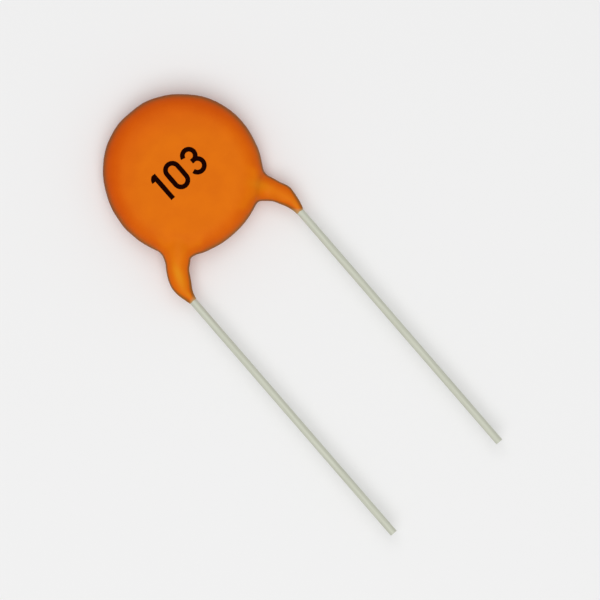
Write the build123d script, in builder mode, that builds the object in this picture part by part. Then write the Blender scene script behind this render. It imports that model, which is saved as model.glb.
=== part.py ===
from build123d import *
import math
import os

os.makedirs("parts", exist_ok=True)

# Millimetres. The capacitor lies on its back face: X runs across the two leads, Y from their cut
# ends up to the disc, Z up from the surface. X is 0 midway between the leads, Y is 0 at the
# height of the disc's centre, and Z is 0 at the back face.

# Lead wires
lead_pitch = 10.0
lead_reach = 29.45  # from the height of the disc's centre down to the cut ends
wire_d = 0.55
left_bend_drop = 5.89  # from the height of the disc's centre down to each lead's bend
right_bend_drop = 6.21
bend_lead_in = 0.12  # how far below the resin each bend begins
crank_clearance = 0.3  # from the ceramic's edge to the crank that lifts the wire onto it
crank_radius = 1.5
wire_overrun = 3.3  # how far each wire runs on past the disc's centre

# Ceramic disc and its silver
disc_shift = 0.40  # the disc sits this far to the right of the leads' middle
ceramic_d = 10.2
ceramic_t = 0.60
ceramic_chamfer = 0.08
bare_ring = 0.45  # ceramic left bare round the silver
electrode_t = 0.03

# Solder along each wire
solder_film = 0.03  # between the silver and the wire
solder_cap = 0.05  # over the top of the wire
solder_foot = 0.48  # beside the wire, where the solder meets the silver
solder_margin = 0.35  # from the silver's edge to the start of the solder
solder_overrun = 2.7  # how far the solder runs on past the disc's centre

# Resin coating
rim_cover = 0.58  # outside the ceramic's edge
face_cover = 0.45  # over the wires
edge_round_w = 1.65  # width of the rounded edge, seen from the front
left_coat_drop = 7.43  # from the height of the disc's centre down to the end of the resin
right_coat_drop = 7.60
root_fillet = 1.00  # where each shoulder leaves the disc

# Resin round each wire, from the end of its shoulder into the disc. Each row is the distance
# along the wire, then the resin's depth on the wire's inner side, on its outer side and over it.
left_shoulder_rows = [
    (0.00, 0.02, 0.02, 0.02),
    (0.45, 0.09, 0.19, 0.10),
    (0.95, 0.24, 0.43, 0.22),
    (1.50, 0.37, 0.60, 0.32),
    (2.40, 0.42, 0.68, 0.38),
    (3.40, 0.56, 0.82, 0.40),
    (4.40, 0.60, 0.82, 0.34),
    (5.40, 0.45, 0.50, 0.05),
]
right_shoulder_rows = [
    (0.00, 0.02, 0.02, 0.02),
    (0.45, 0.04, 0.22, 0.10),
    (0.95, 0.12, 0.42, 0.22),
    (1.50, 0.22, 0.57, 0.32),
    (2.40, 0.34, 0.72, 0.38),
    (3.40, 0.50, 0.92, 0.40),
    (4.40, 0.62, 0.86, 0.34),
    (5.40, 0.45, 0.50, 0.05),
]

# Sizes that follow
wire_r = wire_d / 2
ceramic_r = ceramic_d / 2
silver_r = ceramic_r - bare_ring
silver_lift = ceramic_t / 2 + electrode_t  # from the middle plane to the face of the silver
wire_lift = silver_lift + solder_film + wire_r  # from the middle plane to a wire on its silver
coating_r = ceramic_r + rim_cover
coating_half_t = wire_lift + wire_r + face_cover
disc_centre = Vector(disc_shift, 0, coating_half_t)
up = Vector(0, 0, 1)


def inward(side, bend_drop):
    """Direction along the disc from a lead's bend to the disc's centre."""
    return Vector(disc_shift - side * lead_pitch / 2, bend_drop, 0).normalized()


def lead_line(side, face, bend_drop, coat_drop):
    """A lead's centre line: straight up, bent towards the disc's centre and lifted onto one face."""
    x = side * lead_pitch / 2
    over_centre = disc_centre + up * face * wire_lift
    cut_end = Vector(x, -lead_reach, disc_centre.Z)
    bend = Vector(x, -bend_drop, disc_centre.Z)
    crank = over_centre - inward(side, bend_drop) * (ceramic_r + crank_clearance)
    inner_end = over_centre + inward(side, bend_drop) * wire_overrun
    turn = (bend - cut_end).get_angle(crank - bend)
    bend_radius = (coat_drop + bend_lead_in - bend_drop) / math.tan(math.radians(turn / 2))
    with BuildLine() as line:
        FilletPolyline(cut_end, bend, crank, inner_end, radius=[bend_radius, crank_radius])
    return line.wire()


def across(line, distance):
    """Plane square to a lead at a distance along it, with its X axis level and to the right."""
    share = distance / line.length
    direction = line % share
    return Plane(origin=line @ share, x_dir=direction.cross(up), z_dir=direction)


left_line = lead_line(-1, 1, left_bend_drop, left_coat_drop)
right_line = lead_line(1, -1, right_bend_drop, right_coat_drop)

# The two leads are round tinned wire. Each is bent where it enters the resin and cranked onto its
# own side of the ceramic, so that the two cross over each other with the disc between them.
with BuildPart() as left_lead:
    with BuildSketch(across(left_line, 0)):
        Circle(wire_r)
    sweep(path=left_line)

with BuildPart() as right_lead:
    with BuildSketch(across(right_line, 0)):
        Circle(wire_r)
    sweep(path=right_line)

# The dielectric is a pressed and fired ceramic disc, with its sharp edges tumbled off
with BuildPart() as ceramic_disc:
    with BuildSketch(Plane(disc_centre - up * ceramic_t / 2)):
        Circle(ceramic_r)
    extrude(amount=ceramic_t)
    chamfer(ceramic_disc.edges().filter_by(GeomType.CIRCLE), ceramic_chamfer)

# Silver is fired onto each side, short of the ceramic's edge
with BuildPart() as front_electrode:
    with BuildSketch(Plane(disc_centre + up * ceramic_t / 2)):
        Circle(silver_r)
    extrude(amount=electrode_t)

with BuildPart() as back_electrode:
    with BuildSketch(Plane(disc_centre - up * ceramic_t / 2)):
        Circle(silver_r)
    extrude(amount=-electrode_t)


def solder_bar(side, face, bend_drop):
    """Solder drawn up both flanks of a wire from the silver, before the wire is cut out of it."""
    along = inward(side, bend_drop)
    start = disc_centre + up * face * silver_lift - along * (silver_r - solder_margin)
    wire_axis_y = solder_film + wire_r
    top_y = wire_axis_y + wire_r + solder_cap
    foot = (wire_r + solder_foot, 0)
    flank = (wire_r + solder_cap, wire_axis_y)
    with BuildPart() as bar:
        with BuildSketch(Plane(origin=start, x_dir=up.cross(along) * face, z_dir=along)):
            with BuildLine():
                TangentArc(flank, foot, tangent=(0, -1))
                Line(foot, (0, 0))
                Line((0, 0), (0, top_y))
                RadiusArc((0, top_y), flank, wire_r + solder_cap)
            make_face()
            mirror(about=Plane.YZ)
        extrude(amount=silver_r - solder_margin + solder_overrun)
    return bar.part


# Each wire is soldered to its silver along most of its run
with BuildPart() as front_solder:
    add(solder_bar(side=-1, face=1, bend_drop=left_bend_drop))
    add(left_lead.part, mode=Mode.SUBTRACT)

with BuildPart() as back_solder:
    add(solder_bar(side=1, face=-1, bend_drop=right_bend_drop))
    add(right_lead.part, mode=Mode.SUBTRACT)


def shoulder(line, side, coat_drop, rows):
    """Resin drawn out along a lead: a loft through ovals that sit off the wire as it hangs."""
    with BuildPart() as drawn_out:
        for distance, inner, outer, over in rows:
            with BuildSketch(across(line, lead_reach - coat_drop + distance)):
                with Locations((side * (outer - inner) / 2, 0)):
                    Ellipse(wire_r + (inner + outer) / 2, wire_r + over)
        loft()
    return drawn_out.part


left_shoulder = shoulder(left_line, -1, left_coat_drop, left_shoulder_rows)
right_shoulder = shoulder(right_line, 1, right_coat_drop, right_shoulder_rows)

# The resin coating is dipped: a body with flat faces and a rounded edge, drawn out along each lead
# into a shoulder that thins to nothing on the bare wire. It fills every space round the pieces.
with BuildPart() as coating:
    with BuildSketch(Plane(origin=disc_centre, x_dir=(1, 0, 0), z_dir=(0, -1, 0))):
        flat_r = coating_r - edge_round_w
        with BuildLine():
            Line((0, coating_half_t), (flat_r, coating_half_t))
            EllipticalCenterArc(
                (flat_r, 0), edge_round_w, coating_half_t, start_angle=90, arc_size=-180
            )
            Line((flat_r, -coating_half_t), (0, -coating_half_t))
            Line((0, -coating_half_t), (0, coating_half_t))
        make_face()
    revolve(axis=Axis(disc_centre, up))
    for drawn_out in (left_shoulder, right_shoulder):
        before = coating.part
        add(drawn_out)
        fillet(new_edges(before, drawn_out, combined=coating.part), root_fillet)
    for held in (ceramic_disc, front_electrode, back_electrode, front_solder, back_solder):
        add(held.part, mode=Mode.SUBTRACT)
    for lead in (left_lead, right_lead):
        add(lead.part, mode=Mode.SUBTRACT)

pieces = {
    "coating": coating,
    "ceramic_disc": ceramic_disc,
    "front_electrode": front_electrode,
    "back_electrode": back_electrode,
    "front_solder": front_solder,
    "back_solder": back_solder,
    "left_lead": left_lead,
    "right_lead": right_lead,
}
for name, piece in pieces.items():
    piece.part.label = name
    export_step(piece.part, f"parts/{name}.step")
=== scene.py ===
import math

import bmesh
import bpy
from mathutils import Matrix, Vector, noise
from mathutils.bvhtree import BVHTree


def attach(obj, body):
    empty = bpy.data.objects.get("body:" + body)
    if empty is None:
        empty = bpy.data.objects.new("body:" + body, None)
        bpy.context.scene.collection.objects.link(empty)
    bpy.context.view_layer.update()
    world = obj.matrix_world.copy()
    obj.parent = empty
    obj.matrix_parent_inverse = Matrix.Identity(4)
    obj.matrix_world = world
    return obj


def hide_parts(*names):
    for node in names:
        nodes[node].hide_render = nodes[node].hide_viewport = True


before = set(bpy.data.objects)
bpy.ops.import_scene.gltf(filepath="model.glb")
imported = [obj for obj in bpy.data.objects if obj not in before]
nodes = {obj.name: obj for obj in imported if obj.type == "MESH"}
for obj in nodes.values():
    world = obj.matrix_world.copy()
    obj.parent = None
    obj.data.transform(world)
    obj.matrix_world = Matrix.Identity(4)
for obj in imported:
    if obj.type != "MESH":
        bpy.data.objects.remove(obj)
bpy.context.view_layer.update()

MM = 0.001


# Ceramic disc: the dielectric, a tan disc of pressed and fired powder. It is sealed inside the
# resin and carries the silver on both faces.
def new_material(name, colour, roughness, metallic=0.0):
    """A Principled material, its node tree and its shader, with the plain values set."""
    material = bpy.data.materials.new(name)
    material.use_nodes = True
    tree = material.node_tree
    shader = tree.nodes["Principled BSDF"]
    shader.inputs["Base Color"].default_value = (*colour, 1)
    shader.inputs["Roughness"].default_value = roughness
    shader.inputs["Metallic"].default_value = metallic
    return material, tree, shader


def noise_over(tree, place, scale, detail):
    """Noise as a 0 to 1 value; scale counts its grains in a metre."""
    grain = tree.nodes.new("ShaderNodeTexNoise")
    grain.inputs["Scale"].default_value = scale
    grain.inputs["Detail"].default_value = detail
    tree.links.new(place, grain.inputs["Vector"])
    return grain.outputs["Fac"]


def add_grain(tree, shader, scale, height, stretch=(1, 1, 1)):
    """Bumps from noise on Object coordinates, height in metres; returns the noise's value."""
    place = tree.nodes.new("ShaderNodeTexCoord").outputs["Object"]
    turn = tree.nodes.new("ShaderNodeMapping")
    turn.inputs["Scale"].default_value = stretch
    tree.links.new(place, turn.inputs["Vector"])
    grain = noise_over(tree, turn.outputs["Vector"], scale, detail=4)
    bump = tree.nodes.new("ShaderNodeBump")
    bump.inputs["Distance"].default_value = height
    tree.links.new(grain, bump.inputs["Height"])
    tree.links.new(bump.outputs["Normal"], shader.inputs["Normal"])
    return grain


def ramp_of(tree, source, stops):
    """A colour ramp over a 0 to 1 source, from (position, colour) stops."""
    ramp = tree.nodes.new("ShaderNodeValToRGB")
    ramp.color_ramp.elements.remove(ramp.color_ramp.elements[0])
    ramp.color_ramp.elements[0].position = stops[0][0]
    ramp.color_ramp.elements[0].color = (*stops[0][1], 1)
    for position, colour in stops[1:]:
        ramp.color_ramp.elements.new(position).color = (*colour, 1)
    tree.links.new(source, ramp.inputs["Fac"])
    return ramp.outputs["Color"]


def shade_by(tree, shader, grain, dark, light):
    """Base colour that runs from dark to light as the grain does."""
    tree.links.new(ramp_of(tree, grain, [(0.3, dark), (0.7, light)]), shader.inputs["Base Color"])


def dress(node, material):
    """Gives a CAD node its material."""
    mesh = nodes[node].data
    mesh.materials.clear()
    mesh.materials.append(material)


ceramic, tree, shader = new_material("fired_ceramic", (0.62, 0.50, 0.36), roughness=0.75)
grain = add_grain(tree, shader, scale=9000, height=0.01 * MM)
shade_by(tree, shader, grain, dark=(0.52, 0.41, 0.28), light=(0.66, 0.54, 0.40))
dress("ceramic_disc", ceramic)

# Electrodes: silver paste printed on each face of the ceramic and fired to a thin matte film,
# short of the ceramic's edge.
silver, tree, shader = new_material(
    "fired_silver", (0.80, 0.79, 0.75), roughness=0.48, metallic=1.0
)
grain = add_grain(tree, shader, scale=14000, height=0.004 * MM)
shade_by(tree, shader, grain, dark=(0.70, 0.69, 0.65), light=(0.86, 0.85, 0.81))
dress("front_electrode", silver)
dress("back_electrode", silver)

# Solder: a tin alloy drawn up both flanks of each wire where it lies on the silver, bright with
# a slightly frosted skin.
solder, tree, shader = new_material("solder", (0.62, 0.62, 0.60), roughness=0.34, metallic=1.0)
grain = add_grain(tree, shader, scale=4000, height=0.01 * MM)
shade_by(tree, shader, grain, dark=(0.52, 0.52, 0.50), light=(0.70, 0.70, 0.68))
dress("front_solder", solder)
dress("back_solder", solder)

# Leads: two round tinned wires, drawn and dipped, so the tin has faint streaks along the wire.
# They leave the resin side by side and end square where they were cut.
tin, tree, shader = new_material("tinned_wire", (0.60, 0.61, 0.51), roughness=0.7, metallic=0.4)
grain = add_grain(tree, shader, scale=9000, height=0.005 * MM, stretch=(1, 0.04, 1))
shade_by(tree, shader, grain, dark=(0.575, 0.588, 0.490), light=(0.635, 0.650, 0.550))
dress("left_lead", tin)
dress("right_lead", tin)

# Coating: orange resin, dipped over everything in several coats and baked. It is thickest over
# the disc, sags a little towards the leads and is drawn out into a shoulder along each wire. Its
# skin is the CAD coating, plugged at the wires, remeshed and made as uneven as a dipped thing is.
lead_x = 5.0 * MM
mid_height = 1.36 * MM
disc_centre = Vector((0.40 * MM, 0, mid_height))
left_resin_end = -7.43 * MM
right_resin_end = -7.60 * MM
plug_radius = 0.285 * MM  # halfway through the thin ring of resin round each wire's exit
weld_gap = 0.001 * MM
skin_voxel = 0.08 * MM

coating_shape = bmesh.new()
coating_shape.from_mesh(nodes["coating"].data)
bmesh.ops.remove_doubles(coating_shape, verts=coating_shape.verts, dist=weld_gap)
for exit_place in ((-lead_x, left_resin_end, mid_height), (lead_x, right_resin_end, mid_height)):
    bmesh.ops.create_circle(
        coating_shape,
        cap_ends=True,
        radius=plug_radius,
        segments=32,
        matrix=Matrix.Translation(exit_place) @ Matrix.Rotation(math.radians(90), 4, "X"),
    )
plugged_mesh = bpy.data.meshes.new("coating_skin")
coating_shape.to_mesh(plugged_mesh)
coating_shape.free()
coating_skin = bpy.data.objects.new("coating_skin", plugged_mesh)
bpy.context.scene.collection.objects.link(coating_skin)
remesh = coating_skin.modifiers.new("even_faces", "REMESH")
remesh.mode = "VOXEL"
remesh.voxel_size = skin_voxel
relax = coating_skin.modifiers.new("relax", "SMOOTH")
relax.factor = 0.5
relax.iterations = 4
bpy.context.view_layer.update()
remeshed = coating_skin.evaluated_get(bpy.context.evaluated_depsgraph_get())
skin_mesh = bpy.data.meshes.new_from_object(remeshed)
coating_skin.modifiers.clear()
coating_skin.data = skin_mesh

IN_PLAN = Vector((1, 1, 0))  # a vector times this loses its height

# How far the disc's outline stands off its CAD circle: degrees round from +X, then millimetres
sag_outline = (
    (0, 0.01), (30, -0.01), (45, -0.05), (60, 0.0), (77, 0.05), (90, 0.0), (103, 0.05),
    (118, 0.05), (135, -0.02), (155, -0.05), (172, -0.05), (188, 0.04), (202, 0.12), (215, 0.20),
    (225, 0.10), (240, 0.25), (256, 0.14), (272, 0.08), (290, 0.08), (305, 0.12), (312, 0.08),
    (319, 0.18), (330, 0.10), (345, 0.02), (360, 0.01),
)  # fmt: skip

# Corners where the shoulders leave the disc, in millimetres: place, move right and up, and size
corner_moves = (
    (-2.94, -4.97, -0.045, 0.060, 0.28),
    (3.11, -5.14, 0.035, 0.060, 0.28),
    (-4.57, -4.07, 0.065, -0.055, 0.45),
    (5.60, -5.80, 0.085, 0.030, 0.50),
)

left_run_on = 0.12 * MM  # how much further along its wire each end of the resin is
right_run_on = 0.09 * MM
waist_depth = 0.10 * MM  # how far the right shoulder draws in on its inner side
waist_y = -5.9 * MM
waist_length = 0.7 * MM
ridge_foot = Vector((-3.9 * MM, -4.6 * MM, 0))  # the left wire lifts the resin in a low ridge
ridge_head = Vector((-1.3 * MM, -1.85 * MM, 0))
ridge_width = 0.55 * MM
ridge_height = 0.07 * MM
wave_height = 0.030 * MM
ripple_height = 0.007 * MM
waves_in_metre = 420
ripples_in_metre = 1300
ripple_start = Vector((5, 2, 9))


def ease(value, start, end):
    """0 before start, 1 after end, and smooth in between."""
    share = min(1, max(0, (value - start) / (end - start)))
    return share * share * (3 - 2 * share)


def bell(distance, width):
    """1 at no distance, falling smoothly to nothing beyond about twice the width."""
    return math.exp(-((distance / width) ** 2))


def reach_of(place):
    """Distance from the disc's centre, seen from the front."""
    return ((place - disc_centre) * IN_PLAN).length


def sag_at(angle):
    """How far the outline stands off its CAD circle at an angle in degrees, in metres."""
    for (low, here), (high, there) in zip(sag_outline, sag_outline[1:]):
        if low <= angle <= high:
            return MM * (here + (there - here) * ease(angle, low, high))


def sag_move(place):
    """Move of the disc's edge, outwards where the resin sagged."""
    out = (place - disc_centre) * IN_PLAN
    angle = math.degrees(math.atan2(out.y, out.x)) % 360
    from_face = ease(out.length, 3.0 * MM, 5.4 * MM)
    to_shoulder = 1 - ease(out.length, 6.3 * MM, 7.3 * MM)
    return out.normalized() * sag_at(angle) * from_face * to_shoulder


def corner_move(place):
    """Move of the corners beside the shoulders."""
    move = Vector((0, 0, 0))
    for x, y, right, up, size in corner_moves:
        apart = (place.xy / MM - Vector((x, y))).length
        move += Vector((right, up, 0)) * MM * bell(apart, size)
    return move


def end_move(place):
    """Move of the resin's ends, further down the wires."""
    run_on = left_run_on if place.x < 0 else right_run_on
    return Vector((0, -1, 0)) * run_on * ease(-place.y, 6.6 * MM, 7.4 * MM)


def waist_move(place):
    """Move of the right shoulder's inner side, towards its wire."""
    inner_side = ease(place.x, 2.5 * MM, 3.2 * MM) * (1 - ease(place.x, 3.6 * MM, 4.6 * MM))
    return Vector((1, 0, 0)) * waist_depth * bell(place.y - waist_y, waist_length) * inner_side


def ridge_move(place, facing):
    """Move of the front face over the left wire, upwards."""
    along = ridge_head - ridge_foot
    spot = (place - ridge_foot) * IN_PLAN
    share = spot.dot(along) / along.length_squared
    swell = bell((spot - along * share).length, ridge_width)
    ends = ease(share, -0.5, 0.0) * (1 - ease(share, 0.3, 1.0))
    return Vector((0, 0, 1)) * ridge_height * swell * ends * max(0, facing)


def wave_at(place):
    """Height of the resin's slow waves and fine ripples."""
    wave = noise.noise(place * waves_in_metre) * wave_height
    ripple = noise.noise(place * ripples_in_metre + ripple_start) * ripple_height
    return wave + ripple


# Middle lines of the shoulders as seen from the front: up each wire, then aslant into the disc
left_turn = Vector((-lead_x, -6.2 * MM))
right_turn = Vector((lead_x, -6.4 * MM))
shoulder_lines = (
    (Vector((-lead_x, -8.0 * MM)), left_turn),
    (left_turn, Vector((-2.2 * MM, -2.8 * MM))),
    (Vector((lead_x, -8.0 * MM)), right_turn),
    (right_turn, Vector((2.7 * MM, -3.2 * MM))),
)

# Thin places where light comes through, painted as paler resin: place in millimetres, angle in
# degrees, half length and half width in millimetres, and strength
glows = (
    (-4.53, -5.35, 69, 0.95, 0.30, 0.8),
    (-4.93, -6.95, 90, 0.32, 0.20, 0.6),
    (4.05, -4.35, -54, 0.90, 0.32, 0.45),
    (5.08, -7.15, 90, 0.38, 0.20, 0.6),
)

wire_light_strength = 0.30  # the painted light over the wires in the shoulders
shade_line_width = 0.20 * MM  # the painted shade line along the shoulders' outline
shade_line_spread = 0.14 * MM  # how much wider it is at their ends
shade_line_strength = 0.50
edge_shade_width = 0.75 * MM  # the fainter painted shade inside that line
edge_shade_strength = 0.13
lower_rim_shade_strength = 0.84  # the disc's painted rim shade on the shoulders' side, where it is 1 on the other
back_rim_shade_limit = 0.40  # keeps the painted rim shade off the back
wall_foot = -1 * MM
wall_head = 4 * MM


def wire_tree_of(lead):
    """Search tree over a lead's mesh."""
    shape = bmesh.new()
    shape.from_mesh(nodes[lead].data)
    found = BVHTree.FromBMesh(shape)
    shape.free()
    return found


def outline_tree_of(shape):
    """Search tree over upright walls that stand along a shape's outline, seen from the front."""
    corners, walls = [], []
    for edge in shape.edges:
        facings = [face.normal.z for face in edge.link_faces]
        if len(facings) == 2 and facings[0] * facings[1] < 0:
            corners += [(*vert.co.xy, wall_foot) for vert in edge.verts]
            corners += [(*vert.co.xy, wall_head) for vert in reversed(edge.verts)]
            walls.append(tuple(range(len(corners) - 4, len(corners))))
    return BVHTree.FromPolygons(corners, walls)


def plan_distance(place, line):
    """Distance from a place to a line of two points, seen from the front."""
    start, end = line
    along = end - start
    share = min(1, max(0, (place.xy - start).dot(along) / along.length_squared))
    return (place.xy - start - along * share).length


def glow_at(place):
    """Strength of the glows at a place."""
    total = 0
    for x, y, angle, long, wide, strength in glows:
        spot = Vector((place.x / MM - x, place.y / MM - y))
        spot = spot @ Matrix.Rotation(math.radians(angle), 2)
        total += strength * bell(spot.x, long) * bell(spot.y, wide)
    return total


def thin_glow_at(place, facing, resin_over, inset):
    """Painted light through thin resin: over the wires in the shoulders, and in the glows."""
    over_wire = 1 - ease(resin_over, 0.20 * MM, 0.55 * MM)
    off_wire = ease(resin_over, 0.10 * MM, 0.30 * MM)
    off_disc = ease(reach_of(place), 3.6 * MM, 6.4 * MM)
    wire_light = wire_light_strength * over_wire * off_wire * off_disc
    glow = glow_at(place) if facing > 0.3 else 0
    return (wire_light + glow) * ease(inset, 0.06 * MM, 0.34 * MM)


def rim_shade_at(place, facing, inset):
    """Painted shade: how far the colour has gone from the face's, at 0, to the side wall's, at 1.
    """
    upper_share = ease(place.y, -4.0 * MM, 1.0 * MM)
    disc_rim_shade = lower_rim_shade_strength + (1 - lower_rim_shade_strength) * upper_share
    disc_rim_shade *= 1 - abs(facing)
    line_width = shade_line_width + shade_line_spread * ease(-place.y, 5.6 * MM, 6.8 * MM)
    shade_line = shade_line_strength * (1 - ease(inset, 0.05 * MM, line_width))
    edge_shade = edge_shade_strength * (1 - ease(inset, 0.10 * MM, edge_shade_width))
    aside = min(plan_distance(place, line) for line in shoulder_lines)
    off_disc = ease(reach_of(place), 3.9 * MM, 4.9 * MM)
    on_shoulder = off_disc * (1 - ease(aside, 1.3 * MM, 1.9 * MM))
    rim_shade = disc_rim_shade + (shade_line + edge_shade - disc_rim_shade) * on_shoulder
    return min(rim_shade, back_rim_shade_limit + (1 - back_rim_shade_limit) * ease(facing, -0.20, 0.05))


wire_trees = [wire_tree_of("left_lead"), wire_tree_of("right_lead")]
skin = bmesh.new()
skin.from_mesh(skin_mesh)
skin.normal_update()
thin_glow = skin.verts.layers.float.new("thin_glow")
film = skin.verts.layers.float.new("film")
rim_shade = skin.verts.layers.float.new("rim_shade")
outline_tree = outline_tree_of(skin)
for vert in skin.verts:
    place, facing = vert.co.copy(), vert.normal.z
    resin_over = min(wire_tree.find_nearest(place)[3] for wire_tree in wire_trees)
    inset = outline_tree.find_nearest(place)[3]
    # painted light where thin resin lets light through
    vert[thin_glow] = thin_glow_at(place, facing, resin_over, inset)
    vert[film] = 1 - ease(resin_over, 0.015 * MM, 0.075 * MM)
    # painted shade towards the rim and along the outline
    vert[rim_shade] = rim_shade_at(place, facing, inset)
    move = sag_move(place) + ridge_move(place, facing) + corner_move(place)
    move += end_move(place) + waist_move(place)
    room = ease(resin_over, 0.03 * MM, 0.25 * MM)
    vert.co = place + move + vert.normal * wave_at(place) * room
    vert.co.z = max(0, vert.co.z)
for face in skin.faces:
    face.smooth = True
skin.to_mesh(skin_mesh)
skin.free()
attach(coating_skin, "root")
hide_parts("coating")


def attribute(tree, name):
    """The value of a mesh attribute, by name."""
    node = tree.nodes.new("ShaderNodeAttribute")
    node.attribute_name = name
    return node.outputs["Fac"]


def share_between(tree, value, low, high, most=1.0):
    """0 where a value is below low, most where it is above high, and in step between them."""
    node = tree.nodes.new("ShaderNodeMapRange")
    node.inputs["From Min"].default_value = low
    node.inputs["From Max"].default_value = high
    node.inputs["To Max"].default_value = most
    tree.links.new(value, node.inputs["Value"])
    return node.outputs["Result"]


def mixed(tree, share, first, second, blend="MIX"):
    """Two colours mixed by a share; each may be a socket or a plain value."""
    mix = tree.nodes.new("ShaderNodeMix")
    mix.data_type = "RGBA"
    mix.blend_type = blend
    for socket, value in ((mix.inputs[0], share), (mix.inputs[6], first), (mix.inputs[7], second)):
        if isinstance(value, bpy.types.NodeSocket):
            tree.links.new(value, socket)
        elif isinstance(value, tuple):
            socket.default_value = (*value, 1)
        else:
            socket.default_value = value
    return mix.outputs[2]


resin, tree, shader = new_material("orange_resin", (0.82, 0.17, 0.004), roughness=0.5)
shader.inputs["Specular IOR Level"].default_value = 0.06
shader.inputs["Coat Weight"].default_value = 1.0
shader.inputs["Coat Roughness"].default_value = 0.5
shader.inputs["Coat IOR"].default_value = 1.02
shader.inputs["Coat Tint"].default_value = (0.92, 0.97, 1.0, 1)
untinted = (1.0, 1.0, 1.0)
deep_tint = (0.94, 0.77, 0.80)
blotch_tint = (0.95, 0.91, 0.90)
glow_amber = (0.83, 0.28, 0.006)
film_straw = (0.66, 0.40, 0.16)
pale_middle = (0.42 * MM, -1.10 * MM, mid_height)
# Painted shade: darker and browner as the resin turns from the front; the side wall is mid orange
rim_shade_colours = [
    (0.00, (0.837, 0.174, 0.001)),
    (0.05, (0.810, 0.150, 0.001)),
    (0.12, (0.793, 0.136, 0.001)),
    (0.26, (0.766, 0.123, 0.002)),
    (0.39, (0.645, 0.122, 0.004)),
    (0.50, (0.480, 0.121, 0.008)),
    (0.64, (0.380, 0.115, 0.010)),
    (1.00, (0.565, 0.112, 0.005)),
]
body = ramp_of(tree, attribute(tree, "rim_shade"), rim_shade_colours)

# The colour deepens beyond the face's middle, towards the upper edge
place = tree.nodes.new("ShaderNodeTexCoord").outputs["Object"]
apart = tree.nodes.new("ShaderNodeVectorMath")
apart.operation = "DISTANCE"
apart.inputs[1].default_value = pale_middle
tree.links.new(place, apart.inputs[0])
axes = tree.nodes.new("ShaderNodeSeparateXYZ")
tree.links.new(place, axes.inputs["Vector"])
deep = tree.nodes.new("ShaderNodeMath")
deep.operation = "MULTIPLY"
outward = share_between(tree, apart.outputs["Value"], 3.9 * MM, 5.5 * MM)
upward = share_between(tree, axes.outputs["Y"], -2.5 * MM, 1.5 * MM)
tree.links.new(outward, deep.inputs[0])
tree.links.new(upward, deep.inputs[1])
tint = ramp_of(tree, deep.outputs["Value"], [(0.0, untinted), (1.0, deep_tint)])
body = mixed(tree, 1.0, body, tint, "MULTIPLY")

# Faint blotches, painted amber light through thin resin, and the last film's straw on the wires
blotch = noise_over(tree, place, scale=650, detail=3)
tint = ramp_of(tree, blotch, [(0.35, blotch_tint), (0.65, untinted)])
body = mixed(tree, 1.0, body, tint, "MULTIPLY")
glow_share = share_between(tree, attribute(tree, "thin_glow"), 0, 1, most=0.8)
body = mixed(tree, glow_share, body, glow_amber)
film_share = share_between(tree, attribute(tree, "film"), 0, 1, most=0.6)
body = mixed(tree, film_share, body, film_straw)
tree.links.new(body, shader.inputs["Base Color"])
add_grain(tree, shader, scale=2600, height=0.006 * MM)
dress("coating", resin)
skin_mesh.materials.clear()
skin_mesh.materials.append(resin)

# Marking: the value code 103 in near-black ink, stamped across the middle of the front face in
# narrow strokes. The film of ink follows the resin under it.
stroke = 0.375 * MM
one_stroke = 0.385 * MM
flag_stroke = 0.28 * MM
ink_lift = 0.010 * MM
crossing_lift = 0.008 * MM  # for a stroke that runs into another, so that one lies on top
ink_sink = 0.006 * MM  # how deep the strokes' edges are let into the resin
ink_feather = 0.035 * MM  # how wide each stroke's sloping edge is
ray_start = Vector((0, 0, 10 * MM))
skin_tree = BVHTree.FromPolygons(
    [vert.co for vert in skin_mesh.vertices],
    [tuple(face.vertices) for face in skin_mesh.polygons],
)


def arc(centre, radius, start, end, steps=22):
    """Points of an arc in millimetres, from one angle to another in degrees."""
    points = []
    for step in range(steps + 1):
        angle = math.radians(start + (end - start) * step / steps)
        points.append((centre[0] + radius * math.cos(angle), centre[1] + radius * math.sin(angle)))
    return points


def ink_strip(shape, points, width, closed=False, lift=ink_lift):
    """A strip of ink on the skin along points in millimetres, its edges let into the resin."""
    line = [Vector((x, y, 0)) * MM for x, y in points]
    if not closed:
        first = (line[1] - line[0]).normalized() * ink_feather
        last = (line[-2] - line[-1]).normalized() * ink_feather
        line = [line[0], line[0] + first, *line[1:-1], line[-1] + last, line[-1]]
    count = len(line)
    half = width / 2
    rows = []
    for number, point in enumerate(line):
        before = line[number - 1] if closed or number else point
        after = line[(number + 1) % count] if closed or number < count - 1 else point
        side = (after - before).normalized().cross(Vector((0, 0, 1)))
        tip = not closed and number in (0, count - 1)
        row = []
        for offset in (-half, ink_feather - half, 0, half - ink_feather, half):
            spot = point + side * offset
            hit = skin_tree.ray_cast(spot + ray_start, Vector((0, 0, -1)))[0]
            rise = -ink_sink if tip or abs(offset) == half else lift
            row.append(shape.verts.new(hit + Vector((0, 0, rise))))
        rows.append(row)
    for this, following in zip(rows, rows[1:] + rows[:1] if closed else rows[1:]):
        for k in range(len(this) - 1):
            face = shape.faces.new((this[k], this[k + 1], following[k + 1], following[k]))
            face.smooth = True


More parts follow.
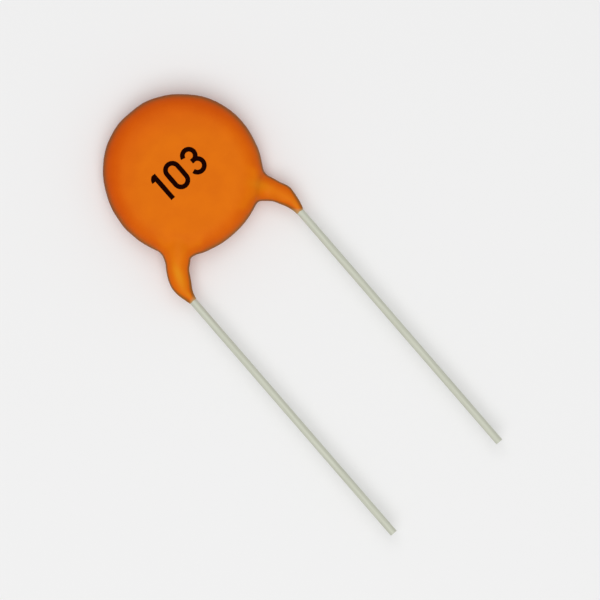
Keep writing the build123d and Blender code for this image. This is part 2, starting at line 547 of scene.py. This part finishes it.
one_stem = [(-1.25, -1.055), (-1.26, 0.1), (-1.27, 1.18)]
one_flag = arc((-1.20, 0.69), 0.375, 92, 180, steps=10)
zero = arc((0.0225, 0.535), 0.49, 0, 180) + arc((0.0225, -0.405), 0.49, 180, 360)
three_upper = arc((1.585, 0.55), 0.46, 172, -90) + [(1.43, 0.09)]
three_lower = [(1.48, 0.11)] + arc((1.60, -0.38), 0.49, 90, -168)
marking_shape = bmesh.new()
ink_strip(marking_shape, one_stem, one_stroke)
ink_strip(marking_shape, one_flag, flag_stroke, lift=crossing_lift)
ink_strip(marking_shape, zero, stroke, closed=True)
ink_strip(marking_shape, three_upper, stroke)
ink_strip(marking_shape, three_lower, stroke, lift=crossing_lift)
marking_mesh = bpy.data.meshes.new("value_code")
marking_shape.to_mesh(marking_mesh)
marking_shape.free()
marking = bpy.data.objects.new("value_code", marking_mesh)
bpy.context.scene.collection.objects.link(marking)
ink, tree, shader = new_material("marking_ink", (0.010, 0.0006, 0.0001), roughness=0.6)
shader.inputs["Specular IOR Level"].default_value = 0.01
add_grain(tree, shader, scale=9000, height=0.004 * MM)
marking_mesh.materials.append(ink)
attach(marking, "root")

# Setting: a plain pale floor, soft light from above and a long lens looking straight down, with
# the picture turned so that the leads run to the lower right.
floor_mesh = bpy.data.meshes.new("floor")
floor_shape = bmesh.new()
bmesh.ops.create_grid(floor_shape, x_segments=1, y_segments=1, size=3.0)
floor_shape.to_mesh(floor_mesh)
floor_shape.free()
floor = bpy.data.objects.new("floor", floor_mesh)
bpy.context.scene.collection.objects.link(floor)
paper, tree, shader = new_material("floor_paper", (0.88, 0.88, 0.88), roughness=0.9)
shader.inputs["Specular IOR Level"].default_value = 0.0
floor_mesh.materials.append(paper)

world = bpy.data.worlds.new("studio")
bpy.context.scene.world = world
world.use_nodes = True
sky = world.node_tree.nodes["Background"]
sky.inputs["Color"].default_value = (1, 1, 1, 1)
sky.inputs["Strength"].default_value = 0.50


def soft_box(name, place, size, watts):
    """A square area lamp aimed at the capacitor."""
    lamp = bpy.data.lights.new(name, "AREA")
    lamp.size = size
    lamp.energy = watts
    holder = bpy.data.objects.new(name, lamp)
    holder.location = place
    holder.rotation_euler = (-Vector(place)).to_track_quat("-Z", "Y").to_euler()
    bpy.context.scene.collection.objects.link(holder)


soft_box("key_box", place=(-0.13, -0.15, 0.40), size=0.36, watts=0.84)
soft_box("fill_box", place=(0.10, 0.14, 0.42), size=0.36, watts=0.47)

picture_px = 600
mm_per_px = 0.07162
view_centre = Vector((0.848 * MM, -12.430 * MM, mid_height))
view_turn = math.radians(-40.863)
camera_height = 0.35
lens_data = bpy.data.cameras.new("camera")
lens_data.sensor_width = 36
lens_data.lens = camera_height * lens_data.sensor_width / (picture_px * mm_per_px * MM)
lens_data.clip_start = 0.01
lens_data.clip_end = 10
camera = bpy.data.objects.new("camera", lens_data)
camera.location = view_centre + Vector((0, 0, camera_height))
camera.rotation_euler = (0, 0, view_turn)
bpy.context.scene.collection.objects.link(camera)
bpy.context.scene.camera = camera
bpy.context.scene.view_settings.view_transform = "Standard"
